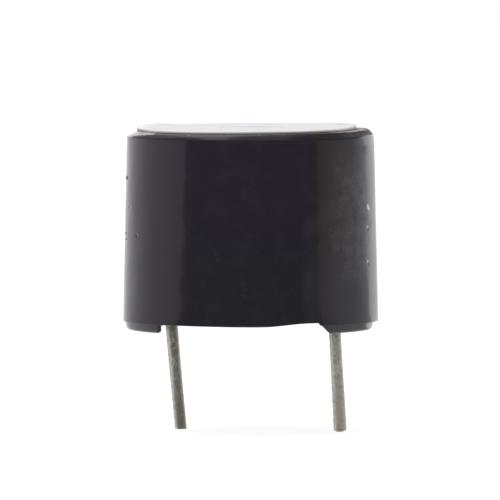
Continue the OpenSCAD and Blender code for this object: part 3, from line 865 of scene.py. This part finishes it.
def potting_look():
    """Black epoxy with tiny bubbles and a low sheen."""
    look = Look("potting epoxy")
    lumps = look.noise(1.6, detail=5.0)
    bubbles = look.fall(look.cells(5.0), 0.05, 0.12)
    colour = look.mix(look.span(lumps, *MIDDLE), (0.011, 0.010, 0.012), (0.021, 0.019, 0.021))
    rough = look.weighted(look.span(lumps, *MIDDLE, 0.28, 0.42), (bubbles, 0.2))
    return look.surface(
        Base_Color=colour, Roughness=rough, IOR=COMMON_IOR, Normal=look.bumps((lumps, 0.05), (bubbles, -0.02)),
    )


# ---- materials of the inner CAD nodes
def sheet_metal_look(name, low, high, rough, marks=None, metallic=1.0):
    """Metal with a drawn or rolled grain and slight tarnish."""
    look = Look(name)
    grain = look.noise(12.0, detail=5.0, roughness=0.7, marks=marks)
    tarnish = look.noise(1.4, detail=5.0)
    colour = look.mix(look.span(tarnish, *MIDDLE), low, high)
    shine = look.total(look.span(grain, *WIDE, rough, rough + 0.14), look.span(tarnish, 0.5, 0.8, 0.0, 0.1))
    return look.surface(Base_Color=colour, Metallic=metallic, Roughness=shine, Normal=look.bumps((grain, 0.003)))


def matte_look(name, low, high, rough, size=6.0, height=0.006):
    """Ceramic, silicone, insulation, resistor or moulding compound: fine speckle and a soft bump."""
    look = Look(name)
    speckle = look.noise(size * 4, detail=5.0, roughness=0.7)
    broad = look.noise(size * 0.5, detail=4.0)
    share = look.total(look.span(broad, 0.25, 0.75, 0.0, 0.6), look.span(speckle, 0.35, 0.7, 0.0, 0.4))
    return look.surface(
        Base_Color=look.mix(share, low, high), Roughness=look.span(speckle, *MIDDLE, rough, rough + 0.15),
        IOR=COMMON_IOR, Normal=look.bumps((broad, height * 3), (speckle, height)),
    )


def laminate_look():
    """Green circuit board: glass weave under a glossy mask."""
    look = Look("green laminate")
    weave = look.add("TexChecker", {"Vector": look.place, "Scale": 3.0}).outputs["Fac"]
    cloth = look.noise(10.0, detail=5.0, marks=(1.0, 5.0, 1.0))
    share = look.total(look.product(weave, 0.25), look.span(cloth, *MIDDLE, 0.0, 0.6))
    return look.surface(
        Base_Color=look.mix(share, (0.016, 0.085, 0.035), (0.035, 0.16, 0.07)), IOR=COMMON_IOR,
        Roughness=look.span(cloth, *MIDDLE, 0.25, 0.42), Normal=look.bumps((weave, 0.003), (cloth, 0.006)),
    )


def dress_inner_nodes():
    """Each CAD node that stays gets the material of its slot."""
    solder = sheet_metal_look("solder", (0.55, 0.56, 0.57), (0.74, 0.75, 0.76), 0.22)
    silver = sheet_metal_look("printed silver", (0.62, 0.61, 0.58), (0.80, 0.79, 0.76), 0.38, metallic=0.8)
    brass = sheet_metal_look("rolled brass", (0.62, 0.44, 0.16), (0.78, 0.58, 0.26), 0.24, marks=(0.6, 8.0, 1.0))
    looks = {
        "diaphragm": brass,
        "piezo_disc": matte_look("piezo ceramic", (0.52, 0.46, 0.32), (0.66, 0.60, 0.44), 0.55),
        "main_electrode": silver,
        "feedback_electrode": silver,
        "bond_ring": matte_look("silicone", (0.66, 0.66, 0.63), (0.80, 0.80, 0.77), 0.35, size=3.0, height=0.01),
        "main_lead": matte_look("red insulation", (0.36, 0.022, 0.018), (0.50, 0.04, 0.03), 0.4),
        "feedback_lead": matte_look("blue insulation", (0.02, 0.06, 0.30), (0.035, 0.10, 0.42), 0.4),
        "plate_lead": matte_look("black insulation", (0.012, 0.012, 0.013), (0.03, 0.03, 0.032), 0.4),
        "circuit_board": laminate_look(),
        "copper_tracks": sheet_metal_look("copper tracks", (0.62, 0.27, 0.13), (0.80, 0.40, 0.22), 0.3),
        "transistor_body": matte_look("moulding compound", (0.014, 0.014, 0.015), (0.035, 0.035, 0.037), 0.5),
        "transistor_legs": sheet_metal_look("tinned legs", (0.5, 0.5, 0.5), (0.68, 0.68, 0.67), 0.25),
    }
    chips = matte_look("chip resistor", (0.022, 0.022, 0.026), (0.06, 0.06, 0.065), 0.3)
    for name in ("main_disc", "feedback_disc", "plate_disc", "main_board", "feedback_board", "plate_board",
                 "negative_pin", "positive_pin"):
        looks[name + "_solder"] = solder
    for name in ("base", "collector", "feedback"):
        looks[name + "_resistor"] = chips
    for name, material in looks.items():
        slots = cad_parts[name].data.materials
        slots.clear()
        slots.append(material)


# ---- stage, light and camera
CAMERA_TURN = radians(5.8)  # round from the front to the positive side
CAMERA_AWAY = 536.0
CAMERA_Z = 30.9
CAMERA_AIM = (-0.03, 0.0, 3.7)
LENS = 822.4
CAMERA_ROLL = radians(-0.06)
STAGE_RIGHT = (cos(CAMERA_TURN), sin(CAMERA_TURN), 0.0)
STAGE_FRONT = (sin(CAMERA_TURN), -cos(CAMERA_TURN), 0.0)
SEEN_RAYS = ("Is Camera Ray", "Is Glossy Ray", "Is Transmission Ray")

WORLD_LEVEL = 0.75  # of the diffuse light
FLOOR_R = 600.0
FLOOR_GAP = 0.03  # between the floor and the lowest pin
FLOOR_COLOUR = (0.90, 0.90, 0.90)  # under diffuse light
FLOOR_SEEN, FLOOR_GLOW = (0.30, 0.30, 0.30), 0.84  # in view: a dimmer colour and a glow
FLOOR_MIRRORED_SHADOW = (0.18, 0.36)  # how much less it glows in reflections, from left to right: a painted shadow of the object
FLOOR_FAR_RIGHT_SHADOW = 0.30  # and how much less still behind the right foot, also painted shadow

LAMP_PLACE, LAMP_AIM, LAMP_SIZE, LAMP_POWER = (-142, -142, 290), (0, 0, 4), 300, 0.45


def stage_object(name, shape, material, unseen_by=()):
    """A part of the stage, hidden from some kinds of rays."""
    thing = mesh_object(name, shape, material)
    for kind in unseen_by:
        setattr(thing, "visible_" + kind, False)


def of_rays(look, *names):
    """1 for rays of the named kinds, else 0."""
    path = look.add("LightPath")
    return look.capped(look.total(*[path.outputs[name] for name in names]))


def floor_look():
    """Pale floor that reads as white, keeps a soft shadow, is dimmer in reflections as a painted shadow of the object
    and isn't seen from below.
    """
    look = Look("pale floor")
    seen = of_rays(look, *SEEN_RAYS)
    far_right_shadow = look.product(look.span(look.y, 0.5, 12.0, 0.0, FLOOR_FAR_RIGHT_SHADOW), look.span(look.x, 4.0, 8.0))
    mirrored_shadow = look.total(look.span(look.x, -10.0, 30.0, *FLOOR_MIRRORED_SHADOW), far_right_shadow)
    level = look.product(seen, look.less(FLOOR_GLOW, look.product(of_rays(look, "Is Glossy Ray"), mirrored_shadow)))
    diffuse = look.add("BsdfDiffuse", {"Color": look.mix(seen, FLOOR_COLOUR, FLOOR_SEEN)})
    glow = look.add("Emission", {"Color": (1, 1, 1, 1), "Strength": level})
    lit = look.add("AddShader", {0: diffuse.outputs[0], 1: glow.outputs[0]})
    clear = look.add("BsdfTransparent")
    below = look.add("NewGeometry").outputs["Backfacing"]
    return look.done(look.add("MixShader", {0: below, 1: lit.outputs[0], 2: clear.outputs[0]}))


def make_floor():
    outline = ring(FLOOR_R, cad_low.z / MM - FLOOR_GAP, FLOOR_SIDES)
    stage_object("floor", (outline, [tuple(range(FLOOR_SIDES))]), floor_look())


# What the gloss mirrors low down round the object: (degrees round from the stage's front, level).
STUDIO_LEVELS = (
    (-180, 1.0), (-152, 1.06), (-140, 0.96), (-120, 0.80), (-100, 0.66), (-80, 0.60), (-72, 0.56), (-62.5, 0.50),
    (-60.5, 0.12), (-30, 0.12), (63, 0.12), (65, 0.30), (84, 0.52), (100, 0.55), (113, 0.56), (122, 0.68),
    (133, 0.80), (137, 1.40), (152, 1.20), (160, 1.0), (180, 1.0),
)
SHELL = ((24.0, None), (200.0, None), (200.0, 90.0), (170.0, 180.0), (90.0, 250.0), (2.0, 270.0))  # radius, height
SHELL_STEP_Z = 80.0  # where the low levels give way to the overhead ones
STEP_SOFT = 8.0
STEP_DROP = 18.0  # how much lower that is at the left side and behind
LEVEL_SHIFT = 3.2  # degrees that the dark front reaches further left near the floor
LEVEL_WIDER = 4.0  # degrees that the right back reaches further forward high up
STRIP, STRIP_TAIL = 0.30, 0.25  # extra level of a strip low on the right, and of its tail to the back
BACK_FADE = (-0.07, 0.22)  # change of level at the right back, at the floor and higher up

SCREEN = 0.9  # extra level of the long screen overhead
CEILING = (0.27, 0.52)  # at the far left, and elsewhere
RIGHT_SHARE, FAR_RIGHT_SHARE, FRONT_SHARE, BACK_SHARE = 0.33, 1.5, 0.6, 0.45  # of these levels
PATCH_LOSS = 0.65  # share of them that a patch on the right loses


def low_levels(look, away_deg):
    """STUDIO_LEVELS, read by angle."""
    ramp = look.add("ValToRGB", {"Fac": look.span(away_deg, -180.0, 180.0)})
    stops = ramp.color_ramp.elements
    for angle, level in STUDIO_LEVELS:
        place = (angle + 180.0) / 360.0
        stop = stops[0] if place == 0 else stops[-1] if place == 1 else stops.new(place)
        stop.color = (level, level, level, 1.0)
    return ramp.outputs["Color"]


def grey(look, level):
    return look.add("CombineXYZ", {0: level, 1: level, 2: level}).outputs[0]


def low_level(look, away):
    """Dim in front, paler to the sides and white behind, with a pale strip low on the right."""
    shift = look.product(look.span(look.z, 1.6, -1.0, 0.0, LEVEL_SHIFT), look.span(away, -30.0, -50.0))
    wider = look.product(look.span(look.z, 6.0, 9.0, 0.0, LEVEL_WIDER), look.span(away, 110.0, 120.0))
    strip = look.product(look.window(away, 48.5, 64.0, 1.0), STRIP)
    tail = look.product(look.span(away, 63.0, 65.0), look.span(away, 78.0, 125.0, STRIP_TAIL, 0.0))
    extra = look.product(look.total(strip, tail), look.span(look.z, 2.4, 1.2), look.span(look.z, -1.3, 0.0, 0.3, 1.0))
    fade = look.product(look.span(away, 110.0, 130.0), look.span(look.z, 1.0, 7.0, *BACK_FADE))
    return look.vector("ADD", low_levels(look, look.total(away, shift, wider)), grey(look, look.total(extra, fade)))[0]


def overhead_level(look):
    """A long bright screen overhead on the left, a plain ceiling, and a darker right with a dim patch, told by
    where a direction from the top of the case points: across to the right, and ahead to the front."""
    towards = look.vector("NORMALIZE", look.vector("SUBTRACT", look.place, (0.0, 0.0, CASE_TOP))[0])[0]
    across = look.vector("DOT_PRODUCT", towards, STAGE_RIGHT)["Value"]
    ahead = look.vector("DOT_PRODUCT", towards, STAGE_FRONT)["Value"]
    slant = look.weighted(across, (ahead, 0.25))
    screen = look.product(look.window(slant, -0.46, -0.16, 0.07), look.span(ahead, 0.45, 0.62, SCREEN, 0.0))
    edge = look.less(across, look.product(ahead, 0.3))
    patch = look.product(look.window(ahead, -0.05, 0.30, 0.08), look.span(across, 0.5, 0.65), PATCH_LOSS)
    return look.product(
        look.total(look.span(across, -0.60, -0.45, *CEILING), screen),
        look.span(edge, 0.29, 0.41, 1.0, RIGHT_SHARE), look.span(across, 0.5, 0.7, 1.0, FAR_RIGHT_SHARE),
        look.span(ahead, 0.45, 0.75, 1.0, FRONT_SHARE), look.span(ahead, -0.55, -0.80, 1.0, BACK_SHARE),
        look.less(1.0, patch),
    )


def studio_look():
    """Glow of the studio shell: low levels by angle, and overhead ones above the step."""
    look = Look("studio shell")
    away = look.less(look.turn(), degrees(CAMERA_TURN))
    lower = look.math("MAXIMUM", look.span(away, -10.0, -50.0), look.span(away, 155.0, 162.0))
    from_step = look.total(look.less(look.z, SHELL_STEP_Z), look.product(lower, STEP_DROP))
    step = look.span(from_step, -STEP_SOFT, STEP_SOFT)
    level = look.mix(step, low_level(look, away), grey(look, overhead_level(look)))
    return look.done(look.add("Emission", {"Color": level, "Strength": 1.0}))


def make_studio_shell():
    """A drum with a domed top round the object, seen only in reflections. The near floor stays in view below it."""
    low = cad_low.z / MM + FLOOR_GAP
    rings = [ring(radius, low if z is None else z, SHELL_SIDES) for radius, z in SHELL]
    unseen_by = ("camera", "diffuse", "transmission", "volume_scatter", "shadow")
    stage_object("studio_shell", loft(rings), studio_look(), unseen_by)


def make_world():
    """White to the camera and in reflections, a plain level for diffuse light."""
    look = Look("studio", bpy.data.worlds, "OutputWorld")
    level = look.span(of_rays(look, *SEEN_RAYS), 0.0, 1.0, WORLD_LEVEL, 1.0)
    background = look.add("Background", {"Color": (1.0, 1.0, 1.0, 1.0), "Strength": level})
    bpy.context.scene.world = look.done(background)


def make_lamp():
    """A soft square lamp above the front left. Its power is in watts."""
    data = bpy.data.lights.new("softbox", "AREA")
    data.shape = "SQUARE"
    data.size = LAMP_SIZE * MM
    data.energy = LAMP_POWER
    lamp = add_object("softbox", data)
    lamp.location = Vector(LAMP_PLACE) * MM
    lamp.rotation_euler = (Vector(LAMP_PLACE) - Vector(LAMP_AIM)).to_track_quat("Z", "Y").to_euler()
    lamp.visible_glossy = False


def make_camera():
    data = bpy.data.cameras.new("camera")
    data.sensor_width = 36
    data.lens = LENS
    data.clip_start = 0.01
    data.clip_end = 10
    camera = add_object("camera", data)
    place = Vector(STAGE_FRONT) * CAMERA_AWAY + Vector((0, 0, CAMERA_Z))
    camera.location = place * MM
    level = (Vector(CAMERA_AIM) - place).to_track_quat("-Z", "Y")
    camera.rotation_mode = "QUATERNION"
    camera.rotation_quaternion = level @ Quaternion((0.0, 0.0, 1.0), CAMERA_ROLL)
    bpy.context.scene.camera = camera


# ---- the whole
def main():
    bpy.context.scene.view_settings.view_transform = "Standard"
    make_camera()
    make_world()
    make_floor()
    make_studio_shell()
    make_lamp()
    make_case(case_look(), cut_look())
    make_label(paper_look())
    make_pins(negative_wire_look(), positive_wire_look())
    make_potting(potting_look())
    dress_inner_nodes()


main()
